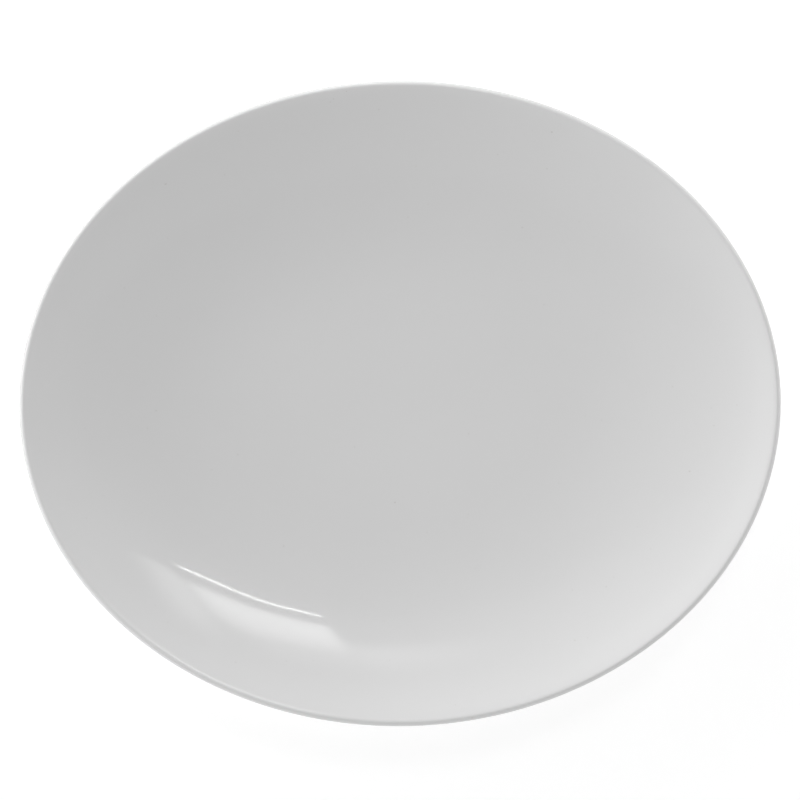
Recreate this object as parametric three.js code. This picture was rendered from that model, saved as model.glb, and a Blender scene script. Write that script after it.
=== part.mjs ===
// China serving platter: a plain oval coupe dish with no rim band.
//
// Units are millimetres. +Z is up, +X runs along the long axis, and the origin is the centre of the
// plane that the foot stands on. The dish is one pressed and fired clay body. Its glaze lies on it in
// two fields, parted by the bare land of the foot ring: the main coat and the patch inside the foot.
//
// Every piece is turned as a round dish from a half section across the short axis, and then drawn
// out along X to the oval.
import * as THREE from 'three';

// Over-all size, measured over the glaze
const LENGTH = 337;
const WIDTH = 286;
const HEIGHT = 30;

// Wall of the dish
const GLAZE_THICKNESS = 0.3;
const WELL_THICKNESS = 5; // clay under the flat of the well
const LIP_THICKNESS = 4.2; // clay at the rounded lip
const LIP_SLOPE = THREE.MathUtils.degToRad(30); // how steeply the wall runs into the lip
const FLAT_RADIUS = 52; // the well is dead flat this far out

// Foot ring
const FOOT_RADIUS = 84; // centre line of the ring
const FOOT_HEIGHT = 3.2; // from the land up to the clay inside the ring
const LAND_WIDTH = 3.4; // bare flat that the dish stands on
const FOOT_FLARE = 1.2; // how much each side of the ring spreads on its way up
const FOOT_ROOT = 2.4; // run of the hollow that joins the outer side of the ring to the back
const GLAZE_LINE = 1; // the glaze is wiped off below this height

// Fineness of the facets
const AROUND = 64;
const WALL_STEPS = 9;
const LIP_STEPS = 6;

const CLAY_COLOUR = 0xe9e6df;
const CLAY_ROUGHNESS = 0.6;
const GLAZE_COLOUR = 0xf1f1ef;
const GLAZE_ROUGHNESS = 0.08;

// The oval reaches this much further along X than along Y
const HALF_WIDTH = WIDTH / 2;
const OVAL_STRETCH = (LENGTH - WIDTH) / 2;
// Within this distance of the edge the whole stretch applies, so the lip has the same section all round
const LIP_ZONE = 12;

// Where the inner face of the clay ends and the round of the lip begins
const lipRadius = LIP_THICKNESS / 2;
const wellTop = FOOT_HEIGHT + WELL_THICKNESS;
const wallEndRadius = HALF_WIDTH - GLAZE_THICKNESS - lipRadius * (1 + Math.sin(LIP_SLOPE));
const wallEndHeight = HEIGHT - GLAZE_THICKNESS - lipRadius * (1 - Math.cos(LIP_SLOPE));
const wallRise = wallEndHeight - wellTop;
const wallRun = wallEndRadius - FLAT_RADIUS;
// The power of the wall's curve that gives it LIP_SLOPE at its end
const wallPower = Math.tan(LIP_SLOPE) * wallRun / wallRise;

// The edges of the foot's land, and how far its sides have spread at the glaze line
const landInner = FOOT_RADIUS - LAND_WIDTH / 2;
const landOuter = FOOT_RADIUS + LAND_WIDTH / 2;
const flareAtLine = FOOT_FLARE * GLAZE_LINE / FOOT_HEIGHT;

// A point on the inner face of the clay. `along` is 0 where the flat ends and 1 where the lip begins.
function innerFacePoint(along) {
  return new THREE.Vector2(FLAT_RADIUS + wallRun * along, wellTop + wallRise * along ** wallPower);
}

// The point of the back that lies square under the same place on the inner face
function backPoint(along) {
  const slope = Math.atan(Math.tan(LIP_SLOPE) * along ** (wallPower - 1));
  const thickness = THREE.MathUtils.lerp(WELL_THICKNESS, LIP_THICKNESS, along);
  return innerFacePoint(along).add(
    new THREE.Vector2(Math.sin(slope) * thickness, -Math.cos(slope) * thickness));
}

// The underside of the well, from the axis out to the glaze line on the inner side of the foot
function recessOutline() {
  return [
    new THREE.Vector2(0, FOOT_HEIGHT),
    new THREE.Vector2(landInner - 2 * FOOT_FLARE, FOOT_HEIGHT),
    new THREE.Vector2(landInner - FOOT_FLARE, FOOT_HEIGHT - FOOT_FLARE / 2),
    new THREE.Vector2(landInner - flareAtLine, GLAZE_LINE),
  ];
}

// The bare land of the foot ring
function landOutline() {
  return [new THREE.Vector2(landInner, 0), new THREE.Vector2(landOuter, 0)];
}

// From the glaze line on the outer side of the foot, up the back, over the lip and in to the axis
function coatedOutline() {
  const backStart = (landOuter + FOOT_FLARE + FOOT_ROOT - FLAT_RADIUS) / wallRun;
  const outline = [
    new THREE.Vector2(landOuter + flareAtLine, GLAZE_LINE),
    new THREE.Vector2(landOuter + FOOT_FLARE, FOOT_HEIGHT),
  ];
  for (let step = 0; step < WALL_STEPS; step += 1) {
    outline.push(backPoint(THREE.MathUtils.lerp(backStart, 1, step / WALL_STEPS)));
  }

  const lipCentre = innerFacePoint(1).add(backPoint(1)).multiplyScalar(0.5);
  const lip = new THREE.EllipseCurve(
    lipCentre.x, lipCentre.y, lipRadius, lipRadius, LIP_SLOPE - Math.PI / 2, LIP_SLOPE + Math.PI / 2);
  outline.push(...lip.getPoints(LIP_STEPS));

  for (let step = WALL_STEPS - 1; step >= 0; step -= 1) {
    outline.push(innerFacePoint(step / WALL_STEPS));
  }
  outline.push(new THREE.Vector2(0, wellTop));
  return outline;
}

// The same outline moved out by a distance, square to itself. Corners are mitred, so the coat that lies
// between the two keeps its thickness round them.
function offsetOutline(outline, distance) {
  return outline.map((point, i) => {
    const before = outline[Math.max(i - 1, 0)];
    const after = outline[Math.min(i + 1, outline.length - 1)];
    const arriving = point.clone().sub(before).normalize();
    const leaving = after.clone().sub(point).normalize();
    const along = arriving.clone().add(leaving).normalize();
    const mitre = Math.max(along.dot(arriving), along.dot(leaving));
    const outward = new THREE.Vector2(along.y, -along.x);
    return point.clone().addScaledVector(outward, distance / mitre);
  });
}

// Draws a round dish out along X. The stretch grows evenly from the axis out to the lip zone.
function stretchToOval(geometry) {
  const position = geometry.attributes.position;
  for (let i = 0; i < position.count; i += 1) {
    const x = position.getX(i);
    const radius = Math.hypot(x, position.getY(i));
    if (radius > 0) {
      const stretch = OVAL_STRETCH * Math.min(1, radius / (HALF_WIDTH - LIP_ZONE));
      position.setX(i, x * (radius + stretch) / radius);
    }
  }
}

// Splits every four-sided facet along its other diagonal. A coat's inner surface runs the opposite way
// to the clay under it, so this makes both have the same triangles.
function turnDiagonals(geometry) {
  const index = geometry.index.array;
  for (let start = 0; start < index.length; start += 6) {
    const [a, b, d, c] = index.slice(start, start + 4);
    index.set([a, b, c, a, c, d], start);
  }
}

function turnedPiece(name, outline, material) {
  const geometry = new THREE.LatheGeometry(outline, AROUND);
  geometry.rotateX(Math.PI / 2);
  stretchToOval(geometry);
  const piece = new THREE.Mesh(geometry, material);
  piece.name = name;
  return piece;
}

function chinaBody() {
  const outline = [...recessOutline(), ...landOutline(), ...coatedOutline()];
  const clay = new THREE.MeshStandardMaterial({
    color: CLAY_COLOUR, roughness: CLAY_ROUGHNESS, metalness: 0,
  });
  return turnedPiece('china_body', outline, clay);
}

// A field of glaze: the clay's own outline on one side and the same outline moved out on the other.
// Its section starts and ends on the axis, whichever end of the clay's outline lies there.
function glazeField(name, clayOutline) {
  const skin = offsetOutline(clayOutline, GLAZE_THICKNESS);
  const clay = clayOutline.toReversed();
  const outline = clayOutline[0].x === 0 ? [...skin, ...clay] : [...clay, ...skin];
  const glaze = new THREE.MeshStandardMaterial({
    color: GLAZE_COLOUR, roughness: GLAZE_ROUGHNESS, metalness: 0,
  });
  const piece = turnedPiece(name, outline, glaze);
  turnDiagonals(piece.geometry);
  return piece;
}

const platter = new THREE.Group();
platter.add(
  chinaBody(),
  glazeField('glaze_coat', coatedOutline()),
  glazeField('foot_well_glaze', recessOutline()),
);

export default platter;
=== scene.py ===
"""A white china serving platter: an oval coupe dish with a glossy glaze and a bare foot.

The file is laid out as an add-on. Each piece of the dish has an operator, the stage has one more, and
the panel in the sidebar lists them. All sizes are in metres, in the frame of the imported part.
"""

import math

import bpy
from mathutils import Euler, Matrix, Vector, noise


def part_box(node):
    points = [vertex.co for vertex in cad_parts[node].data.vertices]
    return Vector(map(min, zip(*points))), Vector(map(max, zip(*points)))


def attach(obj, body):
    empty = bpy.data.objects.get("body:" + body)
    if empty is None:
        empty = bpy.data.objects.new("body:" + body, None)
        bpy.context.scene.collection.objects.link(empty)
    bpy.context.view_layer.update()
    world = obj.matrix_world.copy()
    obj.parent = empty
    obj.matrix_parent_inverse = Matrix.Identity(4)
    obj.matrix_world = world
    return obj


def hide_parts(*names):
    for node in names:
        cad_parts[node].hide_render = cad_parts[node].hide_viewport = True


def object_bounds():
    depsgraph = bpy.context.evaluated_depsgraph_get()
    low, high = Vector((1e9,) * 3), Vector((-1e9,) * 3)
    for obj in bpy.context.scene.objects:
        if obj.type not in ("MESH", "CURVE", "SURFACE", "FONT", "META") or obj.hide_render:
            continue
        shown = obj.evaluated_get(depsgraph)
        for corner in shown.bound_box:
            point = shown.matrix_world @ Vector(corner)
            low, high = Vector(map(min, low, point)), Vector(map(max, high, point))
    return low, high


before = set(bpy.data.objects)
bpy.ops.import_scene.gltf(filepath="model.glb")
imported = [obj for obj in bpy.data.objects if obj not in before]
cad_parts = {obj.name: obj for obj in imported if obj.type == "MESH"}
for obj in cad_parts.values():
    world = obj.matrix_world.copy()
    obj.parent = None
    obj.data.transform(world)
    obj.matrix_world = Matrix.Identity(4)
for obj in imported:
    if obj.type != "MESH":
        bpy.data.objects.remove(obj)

bl_info = {
    "name": "China Serving Platter",
    "version": (1, 0, 0),
    "blender": (4, 5, 0),
    "location": "3D View > Sidebar > Platter",
    "description": "Builds a glazed oval coupe platter from its fired body and its fields of glaze",
    "category": "Object",
}

# The frame's own sizes
COAT_LOW, COAT_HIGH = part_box("glaze_coat")
RECESS_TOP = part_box("foot_well_glaze")[1].z
CAD_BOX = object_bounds()

# Fineness of the meshes. A ring has a whole number of vertices to each eighth of a turn.
AROUND = 256
FACE_STEPS = 56
BACK_STEPS = 40
LIP_STEPS = 14
ROLL_STEPS = 10
ROOT_STEPS = 8
FLAT_RINGS = 6
EDGE_STEPS = 5
NET_SHARE = 0.45  # share of a flat that its square net fills, inside the rings

# The foot ring: where its straight sides end and its hollows begin, as shares of its height, and how much
# tighter the hollow inside it is than the one outside it
OUTER_SIDE_TOP = 0.5
INNER_SIDE_TOP = 0.55
INNER_ROOT_SHARE = 0.6
LAND_POINTS = (0.3, 0.5, 0.7)  # points along the flat of the land, as shares of its width

GLAZE_IOR = 1.52
WARP_TURN = 1.3  # twice the bearing where the lip has risen most, in radians
WANDER_SWELLS = 4  # how often the wiped edge strays on its way round
WIPED_ROUND = 2.5  # width of the rounded edge of the glaze, as a multiple of its thickness
GLAZE_RUN = 2  # how far thinning and pooling reach, as a multiple of the lip's thickness


# ---------------------------------------------------------------------------------------------------
# Sizes and colours that a user would change


class PlatterDish(bpy.types.PropertyGroup):
    """The wall of the dish, from the flat of the well to the lip."""

    length: bpy.props.FloatProperty(
        name="Length", description="Long axis over the glaze",
        default=COAT_HIGH.x - COAT_LOW.x, unit="LENGTH")
    width: bpy.props.FloatProperty(
        name="Width", description="Short axis over the glaze",
        default=COAT_HIGH.y - COAT_LOW.y, unit="LENGTH")
    height: bpy.props.FloatProperty(
        name="Height", description="From the foot to the top of the lip, over the glaze",
        default=COAT_HIGH.z, unit="LENGTH")
    glaze: bpy.props.FloatProperty(
        name="Glaze", description="Usual thickness of the glaze",
        default=0.0003, unit="LENGTH")
    glaze_thinning: bpy.props.FloatProperty(
        name="Glaze thinning", description="Share of the glaze that has run off the lip",
        default=0.3, min=0, max=1, subtype="FACTOR")
    glaze_pooling: bpy.props.FloatProperty(
        name="Glaze pooling", description="Share by which the glaze is thicker in the hollows of the foot",
        default=0.6, min=0, subtype="FACTOR")
    well_thickness: bpy.props.FloatProperty(
        name="Well thickness", description="Clay under the flat of the well",
        default=0.005, unit="LENGTH")
    lip_thickness: bpy.props.FloatProperty(
        name="Lip thickness", description="Clay at the rounded lip",
        default=0.0042, unit="LENGTH")
    lip_slope: bpy.props.FloatProperty(
        name="Lip slope", description="How steeply the wall runs into the lip",
        default=math.radians(30), subtype="ANGLE")
    roll_start: bpy.props.FloatProperty(
        name="Roll start", description="How far outside the crest the slower round begins",
        default=math.radians(15), subtype="ANGLE")
    roll_width: bpy.props.FloatProperty(
        name="Roll width", description="How far the slower round reaches into the face",
        default=0.0034, unit="LENGTH")
    flat_radius: bpy.props.FloatProperty(
        name="Flat radius", description="How far out the well is flat, across the short axis",
        default=0.052, unit="LENGTH")
    lip_zone: bpy.props.FloatProperty(
        name="Lip zone", description="Width inside the edge that keeps one section all round",
        default=0.012, unit="LENGTH")
    warp: bpy.props.FloatProperty(
        name="Warp", description="How far the lip has moved in firing",
        default=0.00012, unit="LENGTH")
    ripple: bpy.props.FloatProperty(
        name="Ripple", description="Height of the soft unevenness left by pressing",
        default=0.00005, unit="LENGTH")
    ripple_length: bpy.props.FloatProperty(
        name="Ripple length", description="Distance from one soft swell to the next",
        default=0.045, unit="LENGTH")


class PlatterFoot(bpy.types.PropertyGroup):
    """The foot ring that the dish stands on."""

    radius: bpy.props.FloatProperty(
        name="Radius", description="Centre line of the ring, across the short axis",
        default=0.084, unit="LENGTH")
    height: bpy.props.FloatProperty(
        name="Height", description="From the land up to the clay inside the ring",
        default=RECESS_TOP, unit="LENGTH")
    land_width: bpy.props.FloatProperty(
        name="Land width", description="Bare flat that the dish stands on",
        default=0.0034, unit="LENGTH")
    flare: bpy.props.FloatProperty(
        name="Flare", description="How much each side spreads on its way up",
        default=0.0012, unit="LENGTH")
    root: bpy.props.FloatProperty(
        name="Root", description="Run of the hollow that joins the ring to the dish",
        default=0.0036, unit="LENGTH")
    edge: bpy.props.FloatProperty(
        name="Land edge", description="Round on each edge of the land",
        default=0.0004, unit="LENGTH")
    glaze_line: bpy.props.FloatProperty(
        name="Glaze line", description="Height below which the glaze was wiped off",
        default=0.0011, unit="LENGTH")
    line_wander: bpy.props.FloatProperty(
        name="Line wander", description="How far the wiped edge strays up and down",
        default=0.00018, unit="LENGTH")


class PlatterLook(bpy.types.PropertyGroup):
    """Colours and surface of the china."""

    glaze_colour: bpy.props.FloatVectorProperty(
        name="Glaze", description="White of the glazed china",
        default=(0.80, 0.80, 0.80), subtype="COLOR", size=3, min=0, max=1)
    clay_colour: bpy.props.FloatVectorProperty(
        name="Clay", description="Bare fired clay on the foot",
        default=(0.72, 0.68, 0.61), subtype="COLOR", size=3, min=0, max=1)
    glaze_roughness: bpy.props.FloatProperty(
        name="Glaze roughness", description="Micro roughness of the glaze",
        default=0.045, min=0, max=1, subtype="FACTOR")
    peel_height: bpy.props.FloatProperty(
        name="Peel height", description="Height of the fine dimpling in the glaze",
        default=0.000004, precision=6, unit="LENGTH")
    swell_height: bpy.props.FloatProperty(
        name="Swell height", description="Height of the wider waves in the glaze",
        default=0.00004, precision=6, unit="LENGTH")
    speck_colour: bpy.props.FloatVectorProperty(
        name="Speck", description="Colour of the few tiny specks under the glaze",
        default=(0.40, 0.37, 0.33), subtype="COLOR", size=3, min=0, max=1)
    rubbed_colour: bpy.props.FloatVectorProperty(
        name="Rubbed", description="Grey that tables have left on the bare foot",
        default=(0.36, 0.35, 0.34), subtype="COLOR", size=3, min=0, max=1)
    grain_height: bpy.props.FloatProperty(
        name="Grain height", description="Height of the grain of the bare clay",
        default=0.00004, precision=6, unit="LENGTH")


class PlatterStage(bpy.types.PropertyGroup):
    """Floor, lights and camera."""

    floor_colour: bpy.props.FloatVectorProperty(
        name="Floor", description="Plain pale floor",
        default=(0.9, 0.9, 0.9), subtype="COLOR", size=3, min=0, max=1)
    floor_glow: bpy.props.FloatProperty(
        name="Floor glow", description="Light that the floor panel gives by itself",
        default=0.38, min=0)
    floor_reach: bpy.props.FloatProperty(
        name="Floor reach", description="From the dish to each edge of the floor",
        default=8, unit="LENGTH")
    panel_height: bpy.props.FloatProperty(
        name="Panel height", description="Height at which the lit panels hang",
        default=1.5, unit="LENGTH")
    tent_gap: bpy.props.FloatProperty(
        name="Tent gap", description="How far above the panels the tent's cloth hangs",
        default=0.02, unit="LENGTH")
    tent_reach: bpy.props.FloatProperty(
        name="Tent reach", description="From the dish to each edge of the tent's cloth",
        default=2.6, unit="LENGTH")
    tent_fade: bpy.props.FloatProperty(
        name="Tent fade", description="Width of the band at the tent's outer edge where its glow dies away",
        default=1.4, unit="LENGTH")
    tent_glow: bpy.props.FloatProperty(
        name="Tent glow", description="Light of the tent's cloth",
        default=0.165, min=0)
    opening_across: bpy.props.FloatProperty(
        name="Opening across", description="Half the length of the tent's oval opening",
        default=0.93, unit="LENGTH")
    opening_deep: bpy.props.FloatProperty(
        name="Opening depth", description="Half the width of the tent's oval opening",
        default=0.57, unit="LENGTH")
    opening_blur: bpy.props.FloatProperty(
        name="Opening blur", description="Width of the opening's soft edge, as a share of its size",
        default=0.22, min=0.01, max=1, subtype="FACTOR")
    room_light: bpy.props.FloatProperty(
        name="Room light", description="Even light from the rest of the room",
        default=0.486, min=0)
    key_light: bpy.props.FloatProperty(
        name="Key light", description="Light of the low lit wall on one side of the room",
        default=3.04, min=0)
    key_bearing: bpy.props.FloatProperty(
        name="Key bearing", description="Bearing of the middle of the lit wall, from +X",
        default=math.radians(148), subtype="ANGLE")
    key_top: bpy.props.FloatProperty(
        name="Key top", description="Height above the horizon at which the lit wall has died away",
        default=math.radians(22), subtype="ANGLE")
    fill_bearing: bpy.props.FloatProperty(
        name="Fill bearing", description="Bearing of the fill softbox, from +X",
        default=math.radians(45), subtype="ANGLE")
    fill_elevation: bpy.props.FloatProperty(
        name="Fill elevation", description="Height of the softbox's middle above the horizon",
        default=math.radians(14), subtype="ANGLE")
    fill_distance: bpy.props.FloatProperty(
        name="Fill distance", description="From the dish to the softbox",
        default=2.4, unit="LENGTH")
    fill_width: bpy.props.FloatProperty(
        name="Fill width", description="Width of the softbox",
        default=1.6, unit="LENGTH")
    fill_height: bpy.props.FloatProperty(
        name="Fill height", description="Height of the softbox",
        default=1.0, unit="LENGTH")
    fill_power: bpy.props.FloatProperty(
        name="Fill power", description="Power of the softbox",
        default=5.6, min=0, unit="POWER")
    camera_elevation: bpy.props.FloatProperty(
        name="Camera elevation", description="Height of the camera above the horizon",
        default=math.radians(87), subtype="ANGLE")
    camera_turn: bpy.props.FloatProperty(
        name="Camera turn", description="How far the camera stands round from the front of the dish",
        default=math.radians(-0.69), subtype="ANGLE")
    camera_distance: bpy.props.FloatProperty(
        name="Camera distance", description="From the camera to the dish",
        default=1.6, unit="LENGTH")
    aim_behind: bpy.props.FloatProperty(
        name="Aim", description="How far behind the middle of the dish the camera looks",
        default=0.0016, unit="LENGTH")
    lens: bpy.props.FloatProperty(
        name="Lens", description="Focal length of the camera",
        default=161.5, unit="CAMERA")


# ---------------------------------------------------------------------------------------------------
# The half section of the dish, as points of (radius, height)


class Section:
    """Half section of the dish across the short axis, worked out from its driving sizes."""

    def __init__(self, dish, foot):
        self.dish = dish
        self.foot = foot
        self.half_width = dish.width / 2
        self.stretch = (dish.length - dish.width) / 2
        self.lip_radius = dish.lip_thickness / 2
        self.well_top = foot.height + dish.well_thickness
        self.lip_tangent = math.tan(dish.lip_slope)
        # where the inner face of the clay ends and the round of the lip begins
        end_radius = self.half_width - dish.glaze - self.lip_radius * (1 + math.sin(dish.lip_slope))
        end_height = dish.height - dish.glaze - self.lip_radius * (1 - math.cos(dish.lip_slope))
        self.run = end_radius - dish.flat_radius
        self.rise = end_height - self.well_top
        self.power = self.lip_tangent * self.run / self.rise
        self.lip_centre = (self.face_point(1) + self.back_point(1)) / 2
        self.land_inner = foot.radius - foot.land_width / 2
        self.land_outer = foot.radius + foot.land_width / 2
        self.flare_slope = foot.flare / foot.height
        # where the sides of the foot run into the back and into the underside of the well
        self.outer_hollow = self.outer_side(foot.height)
        self.inner_hollow = self.inner_side(foot.height)

    def face_point(self, along):
        """A point of the inner face: 0 where the flat ends, 1 where the lip begins."""
        return Vector((
            self.dish.flat_radius + self.run * along,
            self.well_top + self.rise * along ** self.power,
        ))

    def face_slope(self, along):
        return math.atan(self.lip_tangent * along ** (self.power - 1))

    def back_point(self, along):
        """The point of the back square under the same place on the inner face."""
        slope = self.face_slope(along)
        thickness = mix(self.dish.well_thickness, self.dish.lip_thickness, along)
        return self.face_point(along) + Vector((math.sin(slope), -math.cos(slope))) * thickness

    def inner_side(self, height):
        """The point of the foot's inner side at a height."""
        return Vector((self.land_inner - self.flare_slope * height, height))

    def outer_side(self, height):
        """The point of the foot's outer side at a height."""
        return Vector((self.land_outer + self.flare_slope * height, height))

    def recess(self, glaze_line):
        """Underside of the well, from its flat out to the glaze line inside the foot ring."""
        foot = self.foot
        corner = self.inner_hollow
        flat_end = Vector((corner.x - foot.root * INNER_ROOT_SHARE, foot.height))
        side_start = self.inner_side(foot.height * INNER_SIDE_TOP)
        line = self.inner_side(glaze_line)
        flat = [
            Vector((flat_end.x * mix(NET_SHARE, 1, step / FLAT_RINGS), foot.height))
            for step in range(FLAT_RINGS)
        ]
        return flat + bend(flat_end, corner, side_start, ROOT_STEPS) + approach(side_start, line)

    def land(self, glaze_line):
        """The bare foot between its two glaze lines, with its edges rounded."""
        edge = self.foot.edge
        inner_corner = Vector((self.land_inner, 0))
        outer_corner = Vector((self.land_outer, 0))
        along_x = Vector((edge, 0))
        inner_edge = bend(self.inner_side(edge), inner_corner, inner_corner + along_x, EDGE_STEPS)
        outer_edge = bend(outer_corner - along_x, outer_corner, self.outer_side(edge), EDGE_STEPS)
        middle = [inner_corner.lerp(outer_corner, share) for share in LAND_POINTS]
        return [self.inner_side(glaze_line), *inner_edge, *middle, *outer_edge, self.outer_side(glaze_line)]

    def coated(self, glaze_line):
        """From the glaze line outside the foot ring, up the back, over the lip and in over the well."""
        foot = self.foot
        line = self.outer_side(glaze_line)
        side_end = self.outer_side(foot.height * OUTER_SIDE_TOP)
        back_start = (self.land_outer + foot.flare + foot.root - self.dish.flat_radius) / self.run
        back = [
            self.back_point(mix(back_start, 1, step / BACK_STEPS)) for step in range(BACK_STEPS)
        ]
        slope = self.face_slope(back_start)
        corner = meeting(line, side_end - line, back[0], Vector((math.cos(slope), math.sin(slope))))
        root = bend(side_end, corner, back[0], ROOT_STEPS)

        # a tight round outside the lip, and a slower one that rolls over its crest into the face
        round_start = self.dish.lip_slope - math.pi / 2
        round_end = math.pi / 2 - self.dish.roll_start
        lip = []
        for step in range(LIP_STEPS + 1):
            angle = mix(round_start, round_end, step / LIP_STEPS)
            lip.append(self.lip_centre + Vector((math.cos(angle), math.sin(angle))) * self.lip_radius)
        face_end = 1 - self.dish.roll_width / self.run
        slope = self.face_slope(face_end)
        crest_corner = meeting(
            lip[-1], Vector((-math.sin(round_end), math.cos(round_end))),
            self.face_point(face_end), Vector((math.cos(slope), math.sin(slope))))
        lip += bend(lip[-1], crest_corner, self.face_point(face_end), ROLL_STEPS)[1:]

        face = [self.face_point(face_end * (1 - step / FACE_STEPS)) for step in range(1, FACE_STEPS + 1)]
        flat = [
            Vector((self.dish.flat_radius * mix(1, NET_SHARE, step / FLAT_RINGS), self.well_top))
            for step in range(1, FLAT_RINGS + 1)
        ]
        return approach(side_end, line)[::-1] + root[1:-1] + back + lip + face + flat

    def oval(self, radius, angle):
        """Plan position of a point of the round section once it is drawn out along X."""
        share = min(1, radius / (self.half_width - self.dish.lip_zone))
        return Vector(((radius + self.stretch * share) * math.cos(angle), radius * math.sin(angle)))


def mix(low, high, share):
    return low + (high - low) * share


def bend(start, corner, end, steps):
    """A round corner: a curve that leaves start towards corner and arrives at end from it."""
    points = []
    for step in range(steps + 1):
        share = step / steps
        points.append(start.lerp(corner, share).lerp(corner.lerp(end, share), share))
    return points


def approach(start, end):
    """Points that crowd towards end, where the glaze has a rounded edge. start itself is left out."""
    return [start.lerp(end, 1 - (1 - step / EDGE_STEPS) ** 2) for step in range(1, EDGE_STEPS + 1)]


def meeting(point, direction, other_point, other_direction):
    """Where two straight lines of the section cross."""
    across = direction.x * other_direction.y - direction.y * other_direction.x
    apart = other_point - point
    share = (apart.x * other_direction.y - apart.y * other_direction.x) / across
    return point + direction * share


def moved_out(outline, thickness_at):
    """The outline moved out square to itself by a thickness that may change along it."""
    moved = []
    for i, point in enumerate(outline):
        before = outline[max(i - 1, 0)]
        after = outline[min(i + 1, len(outline) - 1)]
        along = (after - before).normalized()
        moved.append(point + Vector((along.y, -along.x)) * thickness_at(point))
    return moved


# ---------------------------------------------------------------------------------------------------
# Meshes


def square_net(section, radius, height, ring_start, vertices, faces, facing_up):
    """Fills a ring with a net of quads, so that the middle of the dish has no pole."""
    cells = AROUND // 4
    net = {}
    for row in range(cells + 1):
        for column in range(cells + 1):
            u = 2 * column / cells - 1
            v = 2 * row / cells - 1
            if abs(u) > abs(v):
                reach = u
                angle = math.pi / 4 * v / u
            else:
                reach = v
                angle = math.pi / 2 - math.pi / 4 * u / v if v else 0
            if reach < 0:
                reach, angle = -reach, angle + math.pi
            if row in (0, cells) or column in (0, cells):
                net[row, column] = ring_start + round(angle / math.tau * AROUND) % AROUND
            else:
                plan = section.oval(radius, angle) * reach
                net[row, column] = len(vertices)
                vertices.append((plan.x, plan.y, height))
    for row in range(cells):
        for column in range(cells):
            quad = [net[row, column], net[row, column + 1],
                    net[row + 1, column + 1], net[row + 1, column]]
            faces.append(quad if facing_up else quad[::-1])


def unevenness(section, x, y, z):
    """How far pressing and firing have moved a point up or down. The foot was ground flat."""
    dish = section.dish
    angle = math.atan2(y, x)
    out = math.hypot(x / dish.length, y / dish.width) * 2
    warp = dish.warp * out * out * math.cos(2 * angle - WARP_TURN)
    ripple = dish.ripple * noise.noise(Vector((x, y, 0)) / dish.ripple_length)
    return (warp + ripple) * min(1, z / section.well_top)


def turned_mesh(name, section, outline_at):
    """Turns a half section round the axis into one closed oval mesh of quads.

    outline_at gives the section's points at an angle, from the flat underneath, out and round, to the
    flat on top. Each end is closed with a square net.
    """
    angles = [math.tau * i / AROUND for i in range(AROUND)]
    outlines = [outline_at(angle) for angle in angles]
    rings = len(outlines[0])
    vertices = []
    for ring in range(rings):
        for angle, outline in zip(angles, outlines):
            plan = section.oval(outline[ring].x, angle)
            vertices.append((plan.x, plan.y, outline[ring].y))
    faces = []
    for ring in range(rings - 1):
        for i in range(AROUND):
            after = (i + 1) % AROUND
            low, high = ring * AROUND, (ring + 1) * AROUND
            faces.append((low + i, low + after, high + after, high + i))
    first, last = outlines[0][0], outlines[0][-1]
    square_net(section, first.x, first.y, 0, vertices, faces, facing_up=False)
    square_net(section, last.x, last.y, (rings - 1) * AROUND, vertices, faces, facing_up=True)
    vertices = [(x, y, z + unevenness(section, x, y, z)) for x, y, z in vertices]
    mesh = bpy.data.meshes.new(name)
    mesh.from_pydata(vertices, [], faces)
    mesh.validate()
    mesh.shade_smooth()
    piece = bpy.data.objects.new(name, mesh)
    bpy.context.scene.collection.objects.link(piece)
    return piece


def wiped_line(foot, angle, seed):
    """Height of the glaze line at an angle, as the sponge left it."""
    spot = Vector((math.cos(angle) * WANDER_SWELLS, math.sin(angle) * WANDER_SWELLS, seed))
    return foot.glaze_line + foot.line_wander * noise.noise(spot)


def nearness(point, place, reach):
    """1 at a place, and falling smoothly to 0 at a distance from it."""
    return max(0, 1 - (point - place).length_squared / reach ** 2) ** 2


def glaze_depth(section, line, hollow):
    """Thickness of the glaze at a point: round at its wiped edge, thin on the lip, deep in the hollow."""
    dish = section.dish
    edge_width = dish.glaze * WIPED_ROUND
    run = dish.lip_thickness * GLAZE_RUN

    def depth(point):
        from_edge = min(1, (point - line).length / edge_width)
        rounded = math.sqrt(1 - (1 - from_edge) ** 2)
        thinning = dish.glaze_thinning * nearness(point, section.lip_centre, run)
        pooling = dish.glaze_pooling * nearness(point, hollow, run)
        return dish.glaze * rounded * (1 - thinning + pooling)

    return depth


def as_piece(piece, node, material):
    """Makes a mesh stand for its CAD node, on the part's one body."""
    piece.data.materials.append(material)
    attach(piece, "root")
    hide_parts(node)
    return piece


# ---------------------------------------------------------------------------------------------------
# Materials


def new_material(name):
    """A material with its shader and its object coordinates, which are in metres."""
    material = bpy.data.materials.new(name)
    material.use_nodes = True
    nodes = material.node_tree.nodes
    shader = next(n for n in nodes if n.type == "BSDF_PRINCIPLED")
    place = nodes.new("ShaderNodeTexCoord").outputs["Object"]
    return material, shader, place


def noise_field(material, place, per_metre, detail, roughness=0.5):
    """Noise of a fineness given in swells to the metre."""
    field = material.node_tree.nodes.new("ShaderNodeTexNoise")
    field.inputs["Scale"].default_value = per_metre
    field.inputs["Detail"].default_value = detail
    field.inputs["Roughness"].default_value = roughness
    material.node_tree.links.new(place, field.inputs["Vector"])
    return field.outputs["Fac"]


def ramp(material, value, stops):
    """Turns a value into a colour through stops of (position, colour)."""
    node = material.node_tree.nodes.new("ShaderNodeValToRGB")
    material.node_tree.links.new(value, node.inputs["Fac"])
    elements = node.color_ramp.elements
    while len(elements) < len(stops):
        elements.new(0.5)
    for element, (position, colour) in zip(elements, stops):
        element.position = position
        element.color = (*colour, 1)
    return node.outputs["Color"]


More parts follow.
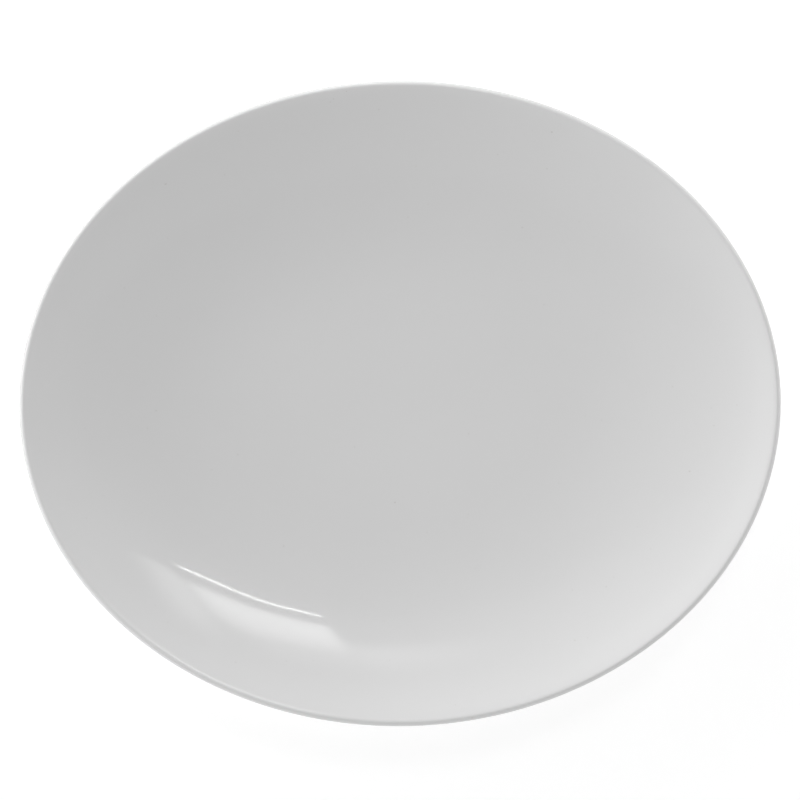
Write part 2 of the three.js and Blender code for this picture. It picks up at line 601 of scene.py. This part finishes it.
def mapped(material, value, low, high, new_low, new_high):
    """Stretches the part of a value between low and high over a new range."""
    node = material.node_tree.nodes.new("ShaderNodeMapRange")
    for socket, number in zip(("From Min", "From Max", "To Min", "To Max"), (low, high, new_low, new_high)):
        node.inputs[socket].default_value = number
    material.node_tree.links.new(value, node.inputs["Value"])
    return node.outputs["Result"]


def blended(material, share, first, second):
    """Mixes two colours by a share that varies over the surface."""
    node = material.node_tree.nodes.new("ShaderNodeMix")
    node.data_type = "RGBA"
    material.node_tree.links.new(share, node.inputs["Factor"])
    for socket, colour in ((node.inputs[6], first), (node.inputs[7], second)):
        if isinstance(colour, bpy.types.NodeSocket):
            material.node_tree.links.new(colour, socket)
        else:
            socket.default_value = (*colour, 1)
    return node.outputs[2]


def raised(material, height, depth, under=None):
    """A bump of a real depth in metres, on top of another one if it is given."""
    node = material.node_tree.nodes.new("ShaderNodeBump")
    node.inputs["Distance"].default_value = depth
    material.node_tree.links.new(height, node.inputs["Height"])
    if under:
        material.node_tree.links.new(under, node.inputs["Normal"])
    return node.outputs["Normal"]


def glaze_material(look):
    """Clear glossy glaze fused on white china."""
    material, shader, place = new_material("white_glaze")
    link = material.node_tree.links.new
    white = Vector(look.glaze_colour)
    cloud = noise_field(material, place, per_metre=14, detail=3)
    tone = ramp(material, cloud, [(0.3, white * 0.985), (0.7, white)])
    # only the highest peaks of the noise show as specks
    specks = noise_field(material, place, per_metre=900, detail=0)
    speck_share = mapped(material, specks, 0.885, 0.91, 0, 0.35)
    link(blended(material, speck_share, tone, look.speck_colour), shader.inputs["Base Color"])
    breath = noise_field(material, place, per_metre=30, detail=4)
    link(mapped(material, breath, 0.3, 0.7, look.glaze_roughness * 0.8, look.glaze_roughness * 1.3),
         shader.inputs["Roughness"])
    waves = noise_field(material, place, per_metre=45, detail=1)
    dimples = noise_field(material, place, per_metre=260, detail=2)
    swell = raised(material, waves, look.swell_height)
    link(raised(material, dimples, look.peel_height, swell), shader.inputs["Normal"])
    shader.inputs["IOR"].default_value = GLAZE_IOR
    return material


def clay_material(look):
    """Bare fired clay, ground flat and a little grey from the tables it has stood on."""
    material, shader, place = new_material("bare_fired_china")
    link = material.node_tree.links.new
    clay = Vector(look.clay_colour)
    grain = noise_field(material, place, per_metre=2600, detail=3, roughness=0.7)
    fired = ramp(material, grain, [(0.25, clay * 0.86), (0.6, clay), (0.85, clay * 1.08)])
    rubbed = noise_field(material, place, per_metre=160, detail=5, roughness=0.65)
    grey_share = mapped(material, rubbed, 0.52, 0.72, 0, 0.55)
    link(blended(material, grey_share, fired, look.rubbed_colour), shader.inputs["Base Color"])
    link(mapped(material, grain, 0.3, 0.7, 0.62, 0.82), shader.inputs["Roughness"])
    link(raised(material, grain, look.grain_height), shader.inputs["Normal"])
    return material


def floor_material(stage):
    """Plain pale panel that glows a little, as a light table does."""
    material, shader, place = new_material("pale_floor")
    link = material.node_tree.links.new
    pale = Vector(stage.floor_colour)
    grain = noise_field(material, place, per_metre=5, detail=3)
    link(ramp(material, grain, [(0.3, pale * 0.99), (0.7, pale)]), shader.inputs["Base Color"])
    shader.inputs["Roughness"].default_value = 0.9
    shader.inputs["Emission Color"].default_value = (1, 1, 1, 1)
    shader.inputs["Emission Strength"].default_value = stage.floor_glow
    return material


# ---------------------------------------------------------------------------------------------------
# Operators


class PLATTER_OT_china_body(bpy.types.Operator):
    """Build the fired clay body, from the foot ring to the lip"""

    bl_idname = "platter.china_body"
    bl_label = "China Body"

    def execute(self, context):
        scene = context.scene
        section = Section(scene.platter_dish, scene.platter_foot)

        def outline(angle):
            line = scene.platter_foot.glaze_line
            return section.recess(line)[:-1] + section.land(line) + section.coated(line)[1:]

        piece = turned_mesh("fired_china_body", section, outline)
        as_piece(piece, "china_body", clay_material(scene.platter_look))
        return {"FINISHED"}


class PLATTER_OT_glaze_coat(bpy.types.Operator):
    """Build the coat of glaze on the back, the lip and the face"""

    bl_idname = "platter.glaze_coat"
    bl_label = "Glaze Coat"

    def execute(self, context):
        scene = context.scene
        section = Section(scene.platter_dish, scene.platter_foot)

        def outline(angle):
            clay = section.coated(wiped_line(scene.platter_foot, angle, seed=1.5))
            skin = moved_out(clay, glaze_depth(section, clay[0], section.outer_hollow))
            return clay[::-1] + skin[1:]

        piece = turned_mesh("glaze_over_the_dish", section, outline)
        as_piece(piece, "glaze_coat", shared_glaze(scene.platter_look))
        return {"FINISHED"}


class PLATTER_OT_foot_well_glaze(bpy.types.Operator):
    """Build the patch of glaze inside the foot ring"""

    bl_idname = "platter.foot_well_glaze"
    bl_label = "Foot Well Glaze"

    def execute(self, context):
        scene = context.scene
        section = Section(scene.platter_dish, scene.platter_foot)

        def outline(angle):
            clay = section.recess(wiped_line(scene.platter_foot, angle, seed=7.5))
            skin = moved_out(clay, glaze_depth(section, clay[-1], section.inner_hollow))
            return skin[:-1] + clay[::-1]

        piece = turned_mesh("glaze_in_the_foot_well", section, outline)
        as_piece(piece, "foot_well_glaze", shared_glaze(scene.platter_look))
        return {"FINISHED"}


def shared_glaze(look):
    """Both fields of glaze come from one batch, so they share one material."""
    return bpy.data.materials.get("white_glaze") or glaze_material(look)


# The lit wall's light begins and is whole at these cosines of the angle from the wall's middle. It fades
# out between this share of the wall's height and the top.
WALL_BEGINS = 0.0
WALL_WHOLE = 0.8
WALL_TOP_SHARE = 0.7

SENSOR_WIDTH = 36  # millimetres

# Lit panels that hang level under the back of the tent, where the wall of the dish mirrors them: name,
# reach along X and along Y in metres, glow, and how wide a band fades out at the left, right, front and
# back edge. The tube lamp is the thin bright one.
PANELS = [
    ("back_panel", (0.11, 0.58), (0.675, 1.08), 4.05, (0.03, 0.20, 0.06, 0.30)),
    ("end_panel", (0.46, 0.75), (0.64, 1.25), 1.67, (0.08, 0.20, 0.05, 0.35)),
    ("bounce_panel", (-0.30, 0.50), (0.82, 1.30), 1.1, (0.40, 0.20, 0.12, 0.30)),
    ("tube_lamp", (0.11, 0.485), (0.615, 0.627), 17, (0.03, 0.06, 0.002, 0.002)),
]


class PLATTER_OT_stage(bpy.types.Operator):
    """Build the floor, the lights and the camera"""

    bl_idname = "platter.stage"
    bl_label = "Stage"

    def execute(self, context):
        stage = context.scene.platter_stage
        make_floor(stage)
        make_softbox(stage)
        make_tent(stage)
        for panel in PANELS:
            make_panel(stage, *panel)
        make_room(stage)
        make_camera(stage)
        context.scene.view_settings.view_transform = "Standard"
        return {"FINISHED"}


def level_panel(name, reach_x, reach_y, height, material):
    """A single level quad that belongs to the stage."""
    (left, right), (front, back) = reach_x, reach_y
    mesh = bpy.data.meshes.new(name)
    corners = [(left, front, height), (right, front, height), (right, back, height), (left, back, height)]
    mesh.from_pydata(corners, [], [(0, 1, 2, 3)])
    mesh.materials.append(material)
    panel = bpy.data.objects.new(name, mesh)
    bpy.context.scene.collection.objects.link(panel)
    return panel


def make_floor(stage):
    """The plain pale floor that the dish stands on."""
    reach = (-stage.floor_reach, stage.floor_reach)
    return level_panel("floor", reach, reach, 0, floor_material(stage))


def seen_from_dish(bearing, elevation):
    """Direction from the dish at a bearing from +X and an elevation above the horizon."""
    level = math.cos(elevation)
    return Vector((level * math.cos(bearing), level * math.sin(bearing), math.sin(elevation)))


def make_softbox(stage):
    """A weak softbox that stands low on one side. The camera looks past it."""
    light = bpy.data.lights.new("fill_softbox", "AREA")
    light.shape = "RECTANGLE"
    light.size = stage.fill_width
    light.size_y = stage.fill_height
    light.energy = stage.fill_power
    softbox = bpy.data.objects.new("fill_softbox", light)
    direction = seen_from_dish(stage.fill_bearing, stage.fill_elevation)
    softbox.location = direction * stage.fill_distance
    softbox.rotation_euler = direction.to_track_quat("Z", "Y").to_euler()
    softbox.visible_camera = False
    bpy.context.scene.collection.objects.link(softbox)
    return softbox


def soft_step(tree, value, dark, lit, brightest=1.0):
    """Rises softly with a value, from 0 at dark to brightest at lit."""
    step = tree.nodes.new("ShaderNodeMapRange")
    step.interpolation_type = "SMOOTHSTEP"
    tree.links.new(value, step.inputs["Value"])
    step.inputs["From Min"].default_value = dark
    step.inputs["From Max"].default_value = lit
    step.inputs["To Max"].default_value = brightest
    return step.outputs["Result"]


class Glow:
    """Material of a sheer lit cloth: a glow that fades over its place, added to what is behind it."""

    def __init__(self, name, strength):
        self.material = bpy.data.materials.new(name)
        self.material.use_nodes = True
        self.tree = self.material.node_tree
        self.nodes = self.tree.nodes
        self.link = self.tree.links.new
        self.nodes.clear()
        self.place = self.nodes.new("ShaderNodeTexCoord").outputs["Object"]
        split = self.nodes.new("ShaderNodeSeparateXYZ")
        self.link(self.place, split.inputs[0])
        self.along = split.outputs
        self.emission = self.nodes.new("ShaderNodeEmission")
        self.strength = strength
        self.faded = None
        sheer = self.nodes.new("ShaderNodeAddShader")
        self.link(self.emission.outputs["Emission"], sheer.inputs[0])
        self.link(self.nodes.new("ShaderNodeBsdfTransparent").outputs["BSDF"], sheer.inputs[1])
        output = self.nodes.new("ShaderNodeOutputMaterial")
        self.link(sheer.outputs["Shader"], output.inputs["Surface"])

    def fade(self, value, dark, lit):
        """Dims the glow where a value is short of lit, down to nothing at dark."""
        product = self.nodes.new("ShaderNodeMath")
        product.operation = "MULTIPLY"
        self.link(soft_step(self.tree, value, dark, lit), product.inputs[0])
        if self.faded:
            self.link(self.faded, product.inputs[1])
        else:
            product.inputs[1].default_value = self.strength
        self.faded = product.outputs["Value"]
        self.link(self.faded, self.emission.inputs["Strength"])


def make_tent(stage):
    """A level cloth over the dish, with an oval opening that the camera looks through."""
    glow = Glow("tent", stage.tent_glow)
    # the place on the cloth, scaled so that the opening's edge is at 1
    scaled = glow.nodes.new("ShaderNodeVectorMath")
    scaled.operation = "MULTIPLY"
    glow.link(glow.place, scaled.inputs[0])
    scaled.inputs[1].default_value = (1 / stage.opening_across, 1 / stage.opening_deep, 0)
    out = glow.nodes.new("ShaderNodeVectorMath")
    out.operation = "LENGTH"
    glow.link(scaled.outputs["Vector"], out.inputs[0])
    glow.fade(out.outputs["Value"], 1 - stage.opening_blur / 2, 1 + stage.opening_blur / 2)
    glow.fade(glow.along["Y"], -stage.tent_reach, stage.tent_fade - stage.tent_reach)
    reach = (-stage.tent_reach, stage.tent_reach)
    tent = level_panel("tent", reach, reach, stage.panel_height + stage.tent_gap, glow.material)
    tent.visible_camera = False
    return tent


def make_panel(stage, name, reach_x, reach_y, strength, fades):
    """A level lit panel whose glow fades at its edges."""
    left, right, front, back = fades
    glow = Glow(name, strength)
    glow.fade(glow.along["X"], reach_x[0], reach_x[0] + left)
    glow.fade(glow.along["X"], reach_x[1], reach_x[1] - right)
    glow.fade(glow.along["Y"], reach_y[0], reach_y[0] + front)
    glow.fade(glow.along["Y"], reach_y[1], reach_y[1] - back)
    panel = level_panel(name, reach_x, reach_y, stage.panel_height, glow.material)
    panel.visible_camera = False
    return panel


def wall_light(stage, tree):
    """Strength of the room's light: even, and brighter low down towards the bearing of the lit wall."""
    direction = tree.nodes.new("ShaderNodeTexCoord").outputs["Generated"]
    upward = tree.nodes.new("ShaderNodeSeparateXYZ")
    tree.links.new(direction, upward.inputs[0])
    nearness_to_wall = tree.nodes.new("ShaderNodeVectorMath")
    nearness_to_wall.operation = "DOT_PRODUCT"
    tree.links.new(direction, nearness_to_wall.inputs[0])
    nearness_to_wall.inputs[1].default_value = seen_from_dish(stage.key_bearing, 0)
    across = soft_step(tree, nearness_to_wall.outputs["Value"], WALL_BEGINS, WALL_WHOLE, stage.key_light)
    top = math.sin(stage.key_top)
    below_top = soft_step(tree, upward.outputs["Z"], top, top * WALL_TOP_SHARE)
    total = tree.nodes.new("ShaderNodeMath")
    total.operation = "MULTIPLY_ADD"
    tree.links.new(across, total.inputs[0])
    tree.links.new(below_top, total.inputs[1])
    total.inputs[2].default_value = stage.room_light
    return total.outputs["Value"]


def make_room(stage):
    """A dim room with a low wall lit on one side. Behind the floor the camera sees a pale wall."""
    world = bpy.data.worlds.new("studio")
    world.use_nodes = True
    tree = world.node_tree
    room = tree.nodes["Background"]
    room.inputs["Color"].default_value = (1, 1, 1, 1)
    tree.links.new(wall_light(stage, tree), room.inputs["Strength"])
    backdrop = tree.nodes.new("ShaderNodeBackground")
    backdrop.inputs["Color"].default_value = (1, 1, 1, 1)
    chosen = tree.nodes.new("ShaderNodeMixShader")
    tree.links.new(tree.nodes.new("ShaderNodeLightPath").outputs["Is Camera Ray"], chosen.inputs["Fac"])
    tree.links.new(room.outputs["Background"], chosen.inputs[1])
    tree.links.new(backdrop.outputs["Background"], chosen.inputs[2])
    tree.links.new(chosen.outputs["Shader"], tree.nodes["World Output"].inputs["Surface"])
    bpy.context.scene.world = world


def make_camera(stage):
    """The camera stands almost straight over the dish."""
    camera = bpy.data.cameras.new("camera")
    camera.lens = stage.lens
    camera.sensor_width = SENSOR_WIDTH
    viewpoint = bpy.data.objects.new("camera", camera)
    low, high = (Vector(corner) for corner in CAD_BOX)
    aim = (low + high) / 2 + Vector((0, stage.aim_behind, 0))
    bearing = stage.camera_turn - math.pi / 2
    viewpoint.location = aim + seen_from_dish(bearing, stage.camera_elevation) * stage.camera_distance
    viewpoint.rotation_euler = Euler((math.pi / 2 - stage.camera_elevation, 0, stage.camera_turn))
    bpy.context.scene.collection.objects.link(viewpoint)
    bpy.context.scene.camera = viewpoint


# ---------------------------------------------------------------------------------------------------
# Panel, registration and the run


class PLATTER_PT_pieces(bpy.types.Panel):
    """Lists the pieces of the platter and its stage"""

    bl_idname = "PLATTER_PT_pieces"
    bl_label = "China Serving Platter"
    bl_space_type = "VIEW_3D"
    bl_region_type = "UI"
    bl_category = "Platter"

    def draw(self, context):
        for group, operators in PANEL_ROWS:
            box = self.layout.box()
            for name in operators:
                box.operator(name)
            settings = getattr(context.scene, group)
            for name in settings.__annotations__:
                box.prop(settings, name)


PANEL_ROWS = [
    ("platter_dish", ["platter.china_body", "platter.glaze_coat"]),
    ("platter_foot", ["platter.foot_well_glaze"]),
    ("platter_look", []),
    ("platter_stage", ["platter.stage"]),
]
SETTINGS = {
    "platter_dish": PlatterDish,
    "platter_foot": PlatterFoot,
    "platter_look": PlatterLook,
    "platter_stage": PlatterStage,
}
CLASSES = [
    *SETTINGS.values(),
    PLATTER_OT_china_body,
    PLATTER_OT_glaze_coat,
    PLATTER_OT_foot_well_glaze,
    PLATTER_OT_stage,
    PLATTER_PT_pieces,
]


def register():
    for cls in CLASSES:
        bpy.utils.register_class(cls)
    for name, group in SETTINGS.items():
        setattr(bpy.types.Scene, name, bpy.props.PointerProperty(type=group))


def unregister():
    for name in SETTINGS:
        delattr(bpy.types.Scene, name)
    for cls in reversed(CLASSES):
        bpy.utils.unregister_class(cls)


def main():
    register()
    bpy.ops.platter.stage()
    bpy.ops.platter.china_body()
    bpy.ops.platter.glaze_coat()
    bpy.ops.platter.foot_well_glaze()


if __name__ == "__main__":
    main()
